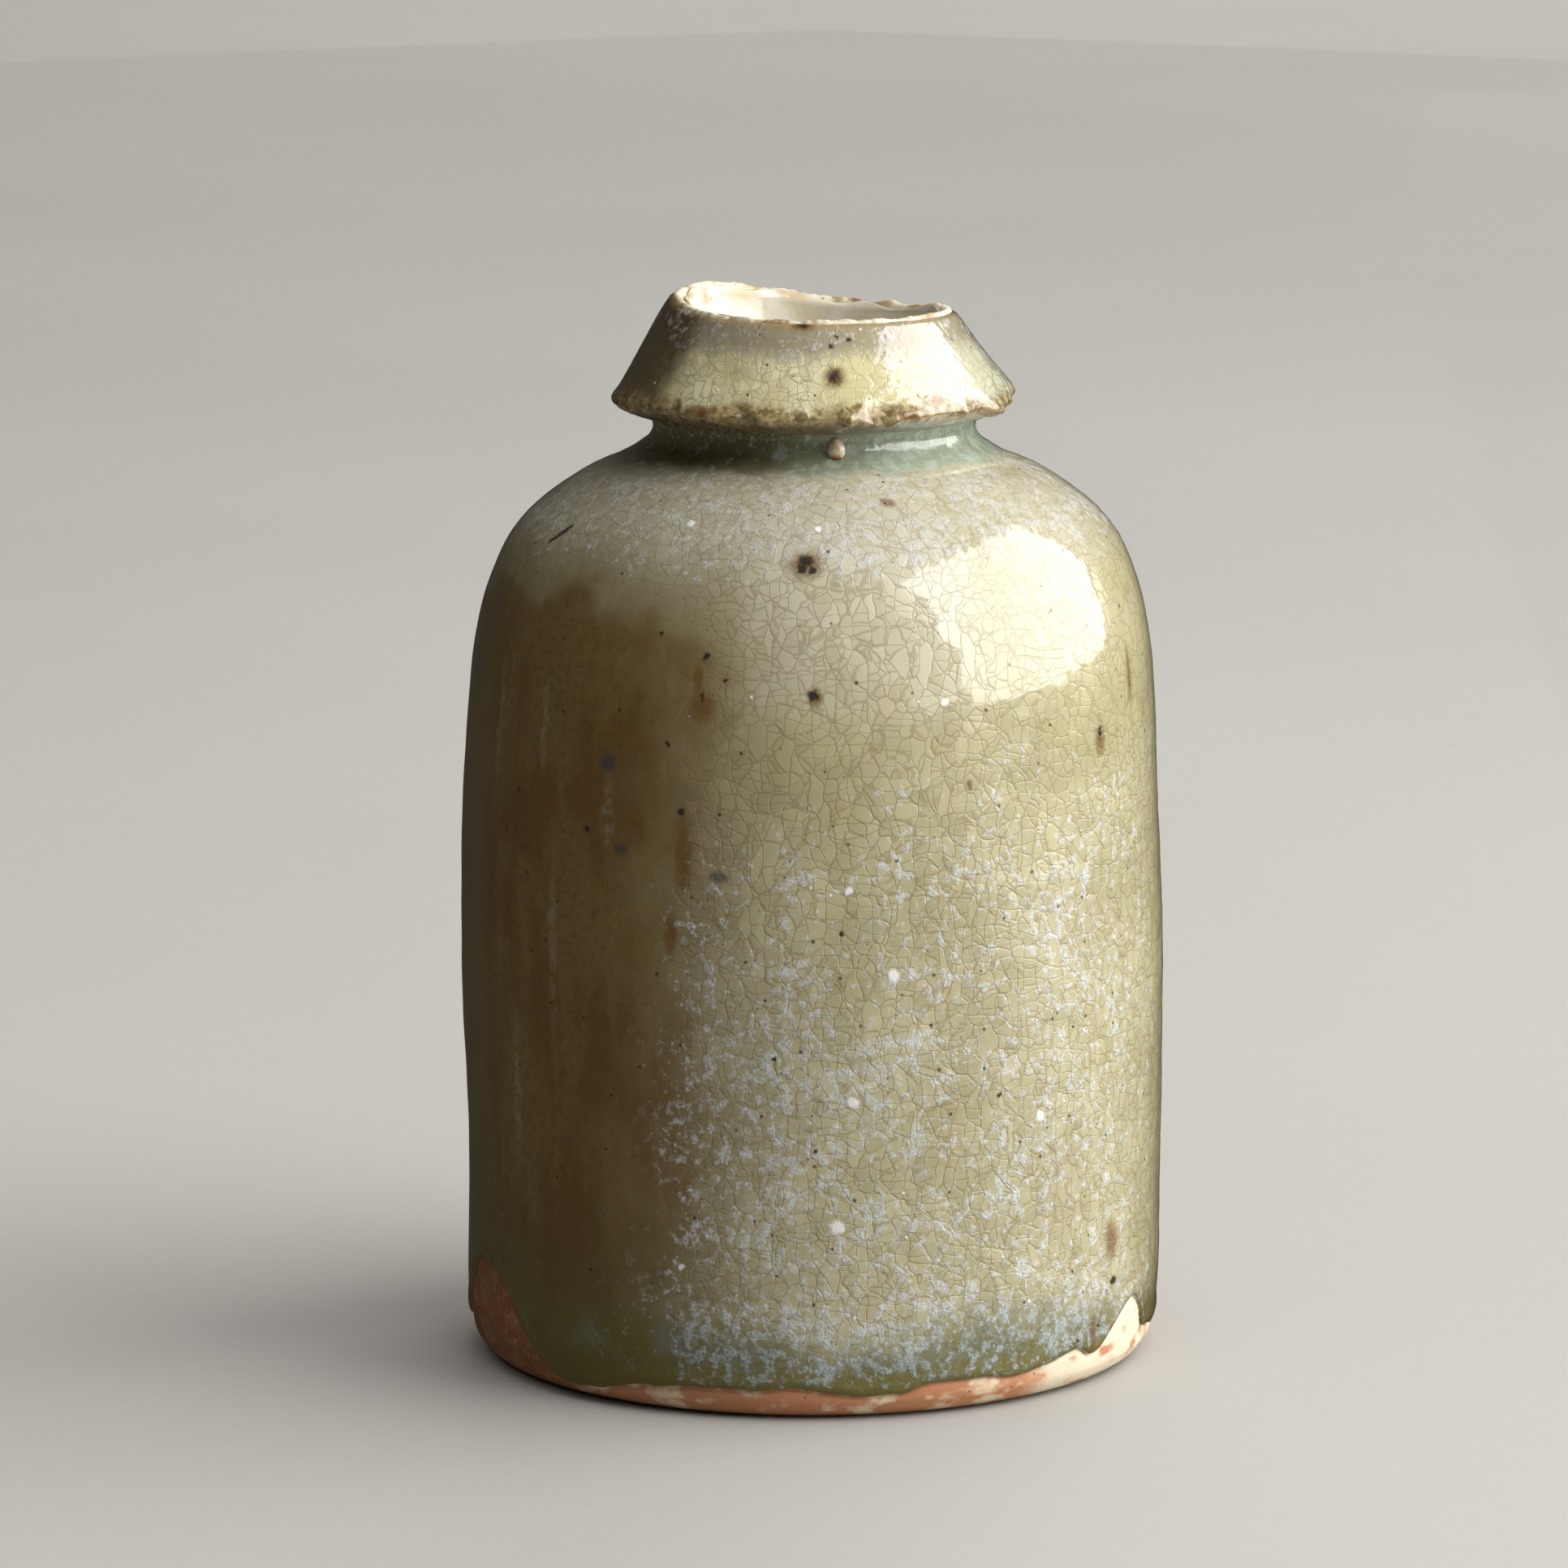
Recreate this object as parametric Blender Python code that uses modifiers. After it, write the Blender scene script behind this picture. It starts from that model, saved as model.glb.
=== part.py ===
"""Sake bottle (tokkuri): a small wood-fired stoneware pot with a conical mouth collar.

A bottle like this has no fastened parts. What can be told apart in it are the thrown clay
pot, the collar that is luted on its neck, the glaze coats that were laid and fired on each
of them, and a bead of molten ash that stuck in the neck groove. Each of those is one closed
solid here, a hair apart from its neighbours, so that each can be taken, changed or left out.

Sizes are in metres. +Z is up, and the origin is the middle of the flat resting face.
Angles run counter-clockwise from +X, seen from above; the front of the bottle faces -Y.
"""
import math

import bpy
from mathutils import Matrix, Vector

# ---------------------------------------------------------------- driving dimensions
HEIGHT = 0.1047            # mean height of the rim above the resting face
BELLY_RADIUS = 0.0350      # widest point of the glazed wall
REST_RADIUS = 0.0316       # edge of the flat, string-cut base
FOOT_RADIUS = 0.0333       # bare clay band above the base's chamfer
FOOT_CHAMFER = 0.0016      # height of that chamfer
NECK_RADIUS = 0.0159       # narrowest point of the glazed neck
LIP_RADIUS = 0.0198        # lower, widest edge of the collar
LIP_HEIGHT = 0.0955        # height of that edge
RIM_RADIUS = 0.0140        # outer edge of the rim
CLAY_WALL = 0.0031         # thickness of the thrown wall
CLAY_FLOOR = 0.0046        # thickness of the floor
BODY_COAT = 0.0006         # glaze on the outside of the pot
THIN_COAT = 0.0004         # glaze on the collar and inside
GAP = 0.0003               # clearance between a coat and what it lies on
FLOOR_FILLET = 0.0070      # rounding between floor and wall, inside

JOINT_HEIGHT = 0.0944      # top of the pot's neck, where the collar is luted on
GLAZE_TOP = 0.0895         # the body coat ends here, and the pooled neck glaze starts
FOOT_LINE = 0.0034         # mean height of the body coat's lower edge
FOOT_BLEND = 0.0180        # the edge's waves have died out at this height

SEGMENTS = 48              # facets around every turned piece
SHOULDER = 0.0700          # above this height the outline bends, and gets more points
SHOULDER_STEPS = 2         # points from one outline point to the next, above it

# Outside of the glazed pot, from the foot to the underside of the collar: radius, height.
POT_OUTLINE = [
    (0.0340, 0.0024),
    (0.0347, 0.0080),
    (0.0347, 0.0210),
    (BELLY_RADIUS, 0.0400),
    (0.0345, 0.0580),
    (0.0336, 0.0710),
    (0.0316, 0.0790),
    (0.0285, 0.0840),
    (0.0232, 0.0880),
    (0.0192, 0.0898),
    (0.0168, 0.0911),
    (NECK_RADIUS, 0.0926),
    (0.0163, 0.0941),
]

# Outside of the glazed collar, from the rim down to its lower edge: radius, height.
COLLAR_OUTLINE = [
    (RIM_RADIUS, HEIGHT),
    (0.0156, 0.1020),
    (0.0174, 0.0992),
    (0.0190, 0.0969),
    (LIP_RADIUS, LIP_HEIGHT),
]

# Places where fingers held the pot in the glaze bath, bare of glaze: angle in degrees,
# half width in degrees, and how far the coat's edge climbs there.
FINGER_MARKS = [
    (334.0, 9.0, 0.0046),
    (206.0, 12.0, 0.0068),
]

# Waves of the rim and of the collar's lower edge: height, lobes around, angle of a crest.
RIM_WAVES = [(0.00077, 1, 183.0), (0.00056, 2, 153.0), (0.00016, 3, 21.0)]
LIP_WAVES = [(0.00035, 1, 315.0), (0.00020, 2, 30.0), (0.00012, 5, 290.0)]
FOOT_WAVES = [(0.00020, 3, 300.0), (0.00018, 5, 255.0)]

BEND = 0.00020             # sideways sway of the wall, up and down the height
BEND_LENGTH = 0.070
BEND_CREST = 0.020

BEAD_ANGLE = 278.0         # the ash bead in the neck groove
BEAD_HEIGHT = 0.0923
BEAD_SIZE = Vector((0.0007, 0.0009, 0.0011))   # half sizes: out, around, up

COLLECTION_NAME = "sake_bottle"


# ---------------------------------------------------------------- outlines
def smooth_outline(points, shoulder_steps=SHOULDER_STEPS):
    """A Catmull-Rom curve through (radius, height) points, as a longer list of them."""
    ends = [points[0]] + list(points) + [points[-1]]
    curve = []
    for before, start, finish, after in zip(ends, ends[1:], ends[2:], ends[3:]):
        steps = shoulder_steps if start[1] > SHOULDER else 1
        for step in range(steps):
            t = step / steps
            curve.append(tuple(
                0.5 * (2 * b + (c - a) * t + (2 * a - 5 * b + 4 * c - d) * t ** 2
                       + (3 * b - a - 3 * c + d) * t ** 3)
                for a, b, c, d in zip(before, start, finish, after)))
    curve.append(tuple(points[-1]))
    return curve


def inset(outline, distance):
    """The outline moved towards the clay by a distance, along its own normals."""
    moved = []
    last = len(outline) - 1
    for i, (radius, height) in enumerate(outline):
        r0, z0 = outline[max(i - 1, 0)]
        r1, z1 = outline[min(i + 1, last)]
        length = math.hypot(r1 - r0, z1 - z0)
        side = 1.0 if z1 > z0 else -1.0
        moved.append((radius - side * distance * (z1 - z0) / length,
                      height + side * distance * (r1 - r0) / length))
    return moved


def at_height(outline, height):
    """Radius of an outline that climbs steadily, at one height."""
    for (r0, z0), (r1, z1) in zip(outline, outline[1:]):
        if z0 <= height <= z1:
            return r0 + (r1 - r0) * (height - z0) / (z1 - z0)
    raise ValueError("height outside the outline")


def between(outline, low, high):
    """The stretch of a climbing outline from one height to another, ends included."""
    inside = [point for point in outline if low < point[1] < high]
    return [(at_height(outline, low), low)] + inside + [(at_height(outline, high), high)]


def arc(centre, radius, start, finish, steps):
    """Points on an arc in the radius-height plane, angles in degrees."""
    points = []
    for step in range(steps + 1):
        angle = math.radians(start + (finish - start) * step / steps)
        points.append((centre[0] + radius * math.cos(angle),
                       centre[1] + radius * math.sin(angle)))
    return points


def cavity(depth, top):
    """The hollow's surface, a depth inside the pot's outline, from the floor's middle up."""
    floor = CLAY_FLOOR + depth - (BODY_COAT + GAP + CLAY_WALL)
    fillet = FLOOR_FILLET - (floor - CLAY_FLOOR)
    wall = inset(smooth_outline(POT_OUTLINE, 1), depth)
    wall_radius = at_height(wall, floor + fillet)
    corner = arc((wall_radius - fillet, floor + fillet), fillet, -90, 0, 3)
    upper = between(wall, floor + fillet + 0.001, top)
    return [(0.0, floor)] + corner + upper[1:]


# ---------------------------------------------------------------- the kiln's distortions
def waves(table, angle):
    """Sum of the cosine waves in a table at an angle in radians."""
    return sum(height * math.cos(lobes * (angle - math.radians(crest)))
               for height, lobes, crest in table)


def ramp(low, high, value):
    """0 below low, 1 above high, and a smooth climb between."""
    t = min(max((value - low) / (high - low), 0.0), 1.0)
    return t * t * (3.0 - 2.0 * t)


def fired(point):
    """Where the kiln left a point of the true turned shape."""
    angle = math.atan2(point.y, point.x)
    radius = math.hypot(point.x, point.y)
    sway = BEND * math.cos(2 * math.pi * (point.z - BEND_CREST) / BEND_LENGTH)
    sway *= ramp(0.0, 0.012, point.z) * ramp(HEIGHT, 0.085, point.z)
    climb = ramp(LIP_HEIGHT, HEIGHT, point.z)
    overhang = ramp(NECK_RADIUS, LIP_RADIUS, radius) * ramp(0.0930, 0.0948, point.z)
    lift = climb * waves(RIM_WAVES, angle)
    lift += (1.0 - climb) * overhang * waves(LIP_WAVES, angle)
    return Vector((point.x + sway, point.y, point.z + lift))


def foot_line(angle):
    """Height of the body coat's lower edge at an angle in radians."""
    line = FOOT_LINE + waves(FOOT_WAVES, angle)
    for centre, half_width, climb in FINGER_MARKS:
        turn = math.remainder(angle - math.radians(centre), 2 * math.pi)
        line += climb * math.exp(-(turn / math.radians(half_width)) ** 4)
    return line


def trimmed(point):
    """A point of the body coat, with the coat's lower edge moved to its wavy line."""
    if point.z > FOOT_BLEND:
        return point
    line = foot_line(math.atan2(point.y, point.x))
    share = (point.z - FOOT_LINE) / (FOOT_BLEND - FOOT_LINE)
    height = line + share * (FOOT_BLEND - line)
    radius = math.hypot(point.x, point.y)
    swell = at_height(POT_OUTLINE, height) - at_height(POT_OUTLINE, point.z)
    scale = (radius + swell) / radius
    return Vector((point.x * scale, point.y * scale, height))


# ---------------------------------------------------------------- building blocks
def clear_scene():
    """Remove every object and every unused mesh and material."""
    for item in list(bpy.data.objects):
        bpy.data.objects.remove(item, do_unlink=True)
    for store in (bpy.data.meshes, bpy.data.curves, bpy.data.materials):
        for item in list(store):
            store.remove(item)


def make_material(name, colour, roughness):
    """A Principled material for one piece."""
    material = bpy.data.materials.new(name)
    material.use_nodes = True
    shader = material.node_tree.nodes["Principled BSDF"]
    shader.inputs["Base Color"].default_value = (*colour, 1.0)
    shader.inputs["Roughness"].default_value = roughness
    shader.inputs["Metallic"].default_value = 0.0
    return material


def apply_modifiers(piece):
    """Turn a piece's modifiers into plain mesh, so that its points can be moved."""
    bpy.context.view_layer.update()
    evaluated = piece.evaluated_get(bpy.context.evaluated_depsgraph_get())
    mesh = bpy.data.meshes.new_from_object(evaluated)
    piece.modifiers.clear()
    old = piece.data
    piece.data = mesh
    bpy.data.meshes.remove(old)
    mesh.name = piece.name


def turned(name, collection, outline, material, is_ring, moves=(fired,)):
    """A solid of revolution from an outline that runs down its outer side."""
    mesh = bpy.data.meshes.new(name)
    count = len(outline)
    edges = [(i, (i + 1) % count) for i in range(count if is_ring else count - 1)]
    mesh.from_pydata([(radius, 0.0, height) for radius, height in outline], edges, [])
    piece = bpy.data.objects.new(name, mesh)
    collection.objects.link(piece)
    screw = piece.modifiers.new("turn", "SCREW")
    screw.axis = "Z"
    screw.steps = SEGMENTS
    screw.render_steps = SEGMENTS
    screw.use_merge_vertices = True
    screw.merge_threshold = 0.00001
    screw.use_smooth_shade = True
    apply_modifiers(piece)
    for vertex in piece.data.vertices:
        for move in moves:
            vertex.co = move(vertex.co)
    piece.data.materials.clear()
    piece.data.materials.append(material)
    piece.data.shade_smooth()
    piece.data.set_sharp_from_angle(angle=math.radians(40))
    return piece


# ---------------------------------------------------------------- the pieces
def make_clay_body(collection):
    """The thrown pot: flat base, wall, shoulder and neck stub, in one piece of clay."""
    depth = BODY_COAT + GAP
    skin = inset(smooth_outline(POT_OUTLINE), depth)
    outside = between(skin, 0.0075, JOINT_HEIGHT - 0.0004)
    foot = [(FOOT_RADIUS, 0.0045), (FOOT_RADIUS, FOOT_CHAMFER), (REST_RADIUS, 0.0), (0.0, 0.0)]
    neck_edge = (outside[-1][0], JOINT_HEIGHT)
    inside = cavity(depth + CLAY_WALL, 0.0925)
    bore_edge = (inside[-1][0], JOINT_HEIGHT)
    outline = inside + [bore_edge, neck_edge] + outside[::-1] + foot
    material = make_material("stoneware", (0.36, 0.17, 0.09), 0.75)
    return turned("clay_body", collection, outline, material, is_ring=False)


def make_collar(collection):
    """The mouth collar: a conical ring, luted on the neck, that overhangs it."""
    cone = inset(COLLAR_OUTLINE, THIN_COAT + GAP)
    bore = at_height(inset(POT_OUTLINE, BODY_COAT + GAP + CLAY_WALL), 0.0926)
    rim_bore = cone[0][0] - 0.0009
    seat = JOINT_HEIGHT + GAP
    underside = [(LIP_RADIUS - 0.0012, seat + 0.0005), (NECK_RADIUS, seat)]
    bore_wall = [(bore, seat), (bore, 0.0985), (rim_bore, HEIGHT)]
    material = make_material("collar_stoneware", (0.40, 0.22, 0.12), 0.70)
    return turned("collar_ring", collection, cone + underside + bore_wall, material, is_ring=True)


def make_body_glaze(collection):
    """The ash glaze on the pot's wall and shoulder, down to its wavy line at the foot."""
    outside = between(smooth_outline(POT_OUTLINE), FOOT_LINE, GLAZE_TOP)
    back = between(inset(smooth_outline(POT_OUTLINE), BODY_COAT), FOOT_LINE, GLAZE_TOP - 0.0003)
    material = make_material("ash_glaze", (0.42, 0.37, 0.20), 0.32)
    return turned("body_glaze", collection, outside[::-1] + back, material,
                  is_ring=True, moves=(trimmed, fired))


def make_neck_glaze(collection):
    """The glassy glaze that ran down the shoulder's root and pooled in the neck groove."""
    outline = smooth_outline(POT_OUTLINE)
    outside = between(outline, GLAZE_TOP + 0.0007, JOINT_HEIGHT - 0.0004)
    back = between(inset(outline, BODY_COAT), GLAZE_TOP + 0.0002, JOINT_HEIGHT - 0.0004)
    material = make_material("pooled_glaze", (0.30, 0.37, 0.27), 0.10)
    return turned("neck_glaze", collection, outside[::-1] + back, material, is_ring=True)


def make_collar_glaze(collection):
    """The crackled coat on the collar's cone, from just under the rim to the lip."""
    outside = COLLAR_OUTLINE[1:]
    back = inset(COLLAR_OUTLINE, THIN_COAT)[1:]
    top_outside = (RIM_RADIUS + 0.0002, HEIGHT - 0.0004)
    top_back = (back[0][0] - 0.0014, HEIGHT - 0.0005)
    material = make_material("collar_glaze", (0.52, 0.47, 0.30), 0.30)
    outline = [top_outside] + outside + back[::-1] + [top_back]
    return turned("collar_glaze", collection, outline, material, is_ring=True)


def make_mouth_glaze(collection):
    """The white lining of the mouth, which also seals the joint under the collar."""
    bore = at_height(inset(POT_OUTLINE, BODY_COAT + GAP + CLAY_WALL), 0.0926)
    rim_bore = inset(COLLAR_OUTLINE, THIN_COAT + GAP)[0][0] - 0.0009
    back = [(bore - GAP, 0.0929), (bore - GAP, 0.0985), (rim_bore - GAP, HEIGHT - 0.0003)]
    face = [(radius - THIN_COAT, height) for radius, height in back]
    material = make_material("white_glaze", (0.80, 0.77, 0.68), 0.15)
    return turned("mouth_glaze", collection, back[::-1] + face, material, is_ring=True)


def make_inner_glaze(collection):
    """The liner of the hollow: floor, wall and the underside of the shoulder."""
    depth = BODY_COAT + GAP + CLAY_WALL + GAP
    back = cavity(depth, 0.0925)
    face = cavity(depth + THIN_COAT, 0.0925)
    material = make_material("liner_glaze", (0.55, 0.50, 0.36), 0.20)
    return turned("inner_glaze", collection, face + back[::-1], material, is_ring=False)


def make_neck_bead(collection):
    """A bead of molten ash that stuck in the neck groove, at the front."""
    bpy.ops.mesh.primitive_uv_sphere_add(segments=16, ring_count=10, radius=1.0)
    bead = bpy.context.object
    bead.name = "neck_bead"
    bead.data.name = "neck_bead"
    for owner in list(bead.users_collection):
        owner.objects.unlink(bead)
    collection.objects.link(bead)
    angle = math.radians(BEAD_ANGLE)
    reach = NECK_RADIUS + GAP + BEAD_SIZE.x + 0.0001
    place = fired(Vector((reach * math.cos(angle), reach * math.sin(angle), BEAD_HEIGHT)))
    bead.data.transform(Matrix.Diagonal((*BEAD_SIZE, 1.0)))
    bead.data.shade_smooth()
    bead.rotation_euler = (0.0, 0.0, angle)
    bead.location = place
    bead.data.materials.append(make_material("ash_bead", (0.74, 0.64, 0.47), 0.25))
    return bead


def main():
    clear_scene()
    bottle = bpy.data.collections.new(COLLECTION_NAME)
    bpy.context.scene.collection.children.link(bottle)
    make_clay_body(bottle)
    make_collar(bottle)
    make_body_glaze(bottle)
    make_neck_glaze(bottle)
    make_collar_glaze(bottle)
    make_mouth_glaze(bottle)
    make_inner_glaze(bottle)
    make_neck_bead(bottle)


main()
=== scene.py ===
"""Looks of the sake bottle: fired glaze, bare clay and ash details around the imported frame.

Meshes are in metres. Patterns, relief and marks work in millimetres. +Z is up, angles run
counter-clockwise from +X seen from above, and the front of the bottle faces -Y.
"""
import math
import random

import bpy
import numpy as np
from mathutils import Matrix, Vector


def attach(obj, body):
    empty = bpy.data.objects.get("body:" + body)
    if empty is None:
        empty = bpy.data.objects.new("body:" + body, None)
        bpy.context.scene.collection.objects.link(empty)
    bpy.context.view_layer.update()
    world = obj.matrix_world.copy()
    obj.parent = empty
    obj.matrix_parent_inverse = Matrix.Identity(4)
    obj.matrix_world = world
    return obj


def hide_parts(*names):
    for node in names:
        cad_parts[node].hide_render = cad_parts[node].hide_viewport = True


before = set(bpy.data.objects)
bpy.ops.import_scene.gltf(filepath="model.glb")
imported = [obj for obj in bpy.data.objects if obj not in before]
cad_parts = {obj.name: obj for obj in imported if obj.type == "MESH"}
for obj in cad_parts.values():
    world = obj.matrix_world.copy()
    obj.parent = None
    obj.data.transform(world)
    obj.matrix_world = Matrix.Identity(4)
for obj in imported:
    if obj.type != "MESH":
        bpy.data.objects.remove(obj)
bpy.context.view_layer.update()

MM = 0.001

# ------------ driving dimensions
HEIGHT = 0.1047            # mean height of the rim
LIP_HEIGHT = 0.0957        # lower, widest edge of the collar
LIP_RADIUS = 0.0198
NECK_RADIUS = 0.0159
WALL_TOP = 0.0902          # the wall's coat ends here, behind the pool in the groove
WALL_COAT = 0.00056        # how deep each coat's hidden back lies
GROOVE_COAT = 0.00052
COLLAR_COAT = 0.00050
COLLAR_START = 0.0004      # where the collar's coat starts along its outline
FLOOR_FILLET = 0.0070      # rounding where the hollow's floor meets its wall
COLUMNS = 480              # points around the pieces that are seen from close by

# Outside of the glazed pot, from the foot to the underside of the collar: radius, height.
POT_OUTLINE = [
    (0.0316, 0.0000), (0.0327, 0.0004), (0.0336, 0.0013), (0.0342, 0.0028),
    (0.0347, 0.0080), (0.0347, 0.0210), (0.0350, 0.0400), (0.0345, 0.0580),
    (0.0336, 0.0710), (0.0316, 0.0790), (0.0285, 0.0840), (0.0232, 0.0880),
    (0.0192, 0.0898), (0.0168, 0.0911), (NECK_RADIUS, 0.0926), (0.0163, 0.0939),
    (0.0178, 0.0948),
]

# Lower edge of the glaze on the pot: angle in degrees, height in mm, once around.
GLAZE_LINE = [
    (0, 3.4), (20, 3.0), (50, 3.8), (80, 2.9), (105, 4.2), (130, 3.1), (160, 2.6),
    (184, 3.0), (191, 7.0), (197, 11.2), (203, 10.6), (209, 9.4), (214, 6.6), (218, 3.4),
    (224, 1.3), (233, 1.5), (242, 2.7), (254, 2.9), (268, 3.1), (277, 2.4), (285, 2.2),
    (288.5, 3.4), (296, 3.3), (304, 3.0), (311, 3.3), (316, 4.0), (320, 4.4), (322, 3.4),
    (325, 3.6), (328, 5.0), (332, 7.0), (336, 7.9), (339.5, 6.8), (342, 3.6), (350, 3.0),
]

# Waves of an edge: height in metres, number of crests, angle of one crest in degrees.
RIM_WAVES = [(0.00077, 1, 183.0), (0.00056, 2, 153.0), (0.00016, 3, 21.0)]
LIP_WAVES = [(0.00035, 1, 315.0), (0.00020, 2, 30.0), (0.00012, 5, 290.0)]
BEND = 0.00020             # how far the wall sways sideways
BEND_LENGTH = 0.070
BEND_CREST = 0.020


# ------------ outlines and distortion
def smooth_curve(points, steps=24):
    """Dense Catmull-Rom curve through 2-D points, as an array."""
    p = np.array([points[0]] + list(points) + [points[-1]], float)
    t = np.linspace(0, 1, steps, endpoint=False)[:, None]
    pieces = []
    for a, b, c, d in zip(p, p[1:], p[2:], p[3:]):
        pieces.append(0.5 * (2 * b + (c - a) * t + (2 * a - 5 * b + 4 * c - d) * t ** 2
                             + (3 * b - a - 3 * c + d) * t ** 3))
    return np.vstack(pieces + [p[-1:]])


class Outline:
    """A turned outline that can be read by the distance along it."""

    def __init__(self, points, steps=24):
        self.curve = smooth_curve(points, steps)
        step = np.diff(self.curve, axis=0)
        self.along = np.concatenate([[0.0], np.cumsum(np.hypot(step[:, 0], step[:, 1]))])
        self.length = self.along[-1]
        slope = np.gradient(self.curve, self.along, axis=0)
        slope /= np.linalg.norm(slope, axis=1)[:, None]
        self.normal = np.stack([slope[:, 1], -slope[:, 0]], axis=1)

    def point(self, s):
        return [np.interp(s, self.along, self.curve[:, k]) for k in (0, 1)]

    def side(self, s):
        return [np.interp(s, self.along, self.normal[:, k]) for k in (0, 1)]

    def at_height(self, z):
        return np.interp(z, self.curve[:, 1], self.along)


def waves(table, angle):
    """Sum of the waves of a table at an angle."""
    return sum(h * np.cos(lobes * (angle - math.radians(crest))) for h, lobes, crest in table)


def ramp(low, high, value):
    """0 up to low, 1 from high on, smooth between."""
    t = np.clip((value - low) / (high - low), 0.0, 1.0)
    return t * t * (3.0 - 2.0 * t)


def ripple(angle, z, seed, size, lobes=(2, 9), count=7):
    """Smooth irregularity over angle and height, zero on average, about size high."""
    rng = random.Random(seed)
    total = 0.0
    for _ in range(count):
        n = rng.randint(*lobes)
        pitch = rng.uniform(0.018, 0.060)
        total = total + np.cos(n * angle + 2 * math.pi * z / pitch * rng.choice((-1, 1))
                               + rng.uniform(0, 2 * math.pi)) / count ** 0.5
    return size * total


def fired(x, y, z):
    """Where the kiln left points of the true turned shape."""
    angle = np.arctan2(y, x)
    radius = np.hypot(x, y)
    sway = BEND * np.cos(2 * math.pi * (z - BEND_CREST) / BEND_LENGTH)
    sway = sway * ramp(0.0, 0.012, z) * (1 - ramp(0.085, HEIGHT, z))
    climb = ramp(LIP_HEIGHT, HEIGHT, z)
    overhang = ramp(NECK_RADIUS, LIP_RADIUS, radius) * ramp(0.0930, 0.0948, z)
    lift = climb * waves(RIM_WAVES, angle) + (1 - climb) * overhang * waves(LIP_WAVES, angle)
    return np.stack([x + sway, y, z + lift], axis=-1)


def wheel_marks(angle, z):
    """Faint throwing rings and hand pressure on the wall, as a distance outwards."""
    rings = 0.000012 * np.sin(2 * math.pi * (z + 0.0006 * np.sin(angle)) / 0.0062)
    rings = rings * ramp(0.010, 0.020, z) * (1 - ramp(0.078, 0.086, z))
    return rings + ripple(angle, z, 5, 0.00006) * ramp(0.002, 0.012, z)


def glaze_line(angle):
    """Height of the glaze's lower edge, smooth and closed around the pot."""
    table = np.array(GLAZE_LINE, float)
    turns = np.concatenate([table[:, 0] - 360, table[:, 0], table[:, 0] + 360])
    heights = np.tile(table[:, 1], 3)
    degrees = np.degrees(angle) % 360
    fine = np.linspace(-1.2, 1.2, 9)
    soft = sum(np.interp(degrees + d, turns, heights) for d in fine) / len(fine)
    return MM * (soft + 0.10 * np.sin(23 * angle + 1.0) + 0.06 * np.sin(41 * angle))


POT = Outline(POT_OUTLINE)


# ------------ mesh helpers
def link_mesh(name, vertices, faces):
    mesh = bpy.data.meshes.new(name)
    mesh.from_pydata(vertices.tolist(), [], faces)
    mesh.update()
    mesh.shade_smooth()
    piece = bpy.data.objects.new(name, mesh)
    bpy.context.scene.collection.objects.link(piece)
    return piece


def loop_solid(name, grid):
    """A closed ring: rows go round its cross-section, columns round the bottle."""
    rows, columns, _ = grid.shape
    index = np.arange(rows * columns).reshape(rows, columns)
    right = np.roll(index, -1, axis=1)
    above = np.roll(index, -1, axis=0)
    faces = np.stack([index, right, np.roll(right, -1, axis=0), above], axis=-1)
    return link_mesh(name, grid.reshape(-1, 3), faces.reshape(-1, 4).tolist())


def capped_solid(name, grid):
    """A closed body whose first and last rows shrink to points on the axis."""
    rows, columns, _ = grid.shape
    inner = grid[1:-1]
    index = np.arange((rows - 2) * columns).reshape(rows - 2, columns)
    right = np.roll(index, -1, axis=1)
    faces = np.stack([index[:-1], right[:-1], right[1:], index[1:]], axis=-1)
    faces = faces.reshape(-1, 4).tolist()
    first = (rows - 2) * columns
    faces += [(first, b, a) for a, b in zip(index[0].tolist(), right[0].tolist())]
    faces += [(first + 1, a, b) for a, b in zip(index[-1].tolist(), right[-1].tolist())]
    vertices = np.vstack([inner.reshape(-1, 3), grid[0].mean(0), grid[-1].mean(0)])
    return link_mesh(name, vertices, faces)


def mark_relief(piece, values):
    """Store how much of the surface relief each point takes."""
    layer = piece.data.attributes.new("relief", "FLOAT", "POINT")
    layer.data.foreach_set("value", np.asarray(values, np.float32).ravel())


def angles(count=COLUMNS):
    """One row of angles, evenly around the bottle."""
    return (np.arange(count) * 2 * math.pi / count)[None, :]


def repeated(values, angle):
    """One row for each value, the same all around."""
    return np.asarray(values)[:, None] * np.ones_like(angle)


def turned_grid(radius, height, angle):
    """Points for row arrays of radius and height, both rows by columns."""
    return fired(radius * np.cos(angle), radius * np.sin(angle), height)


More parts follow.
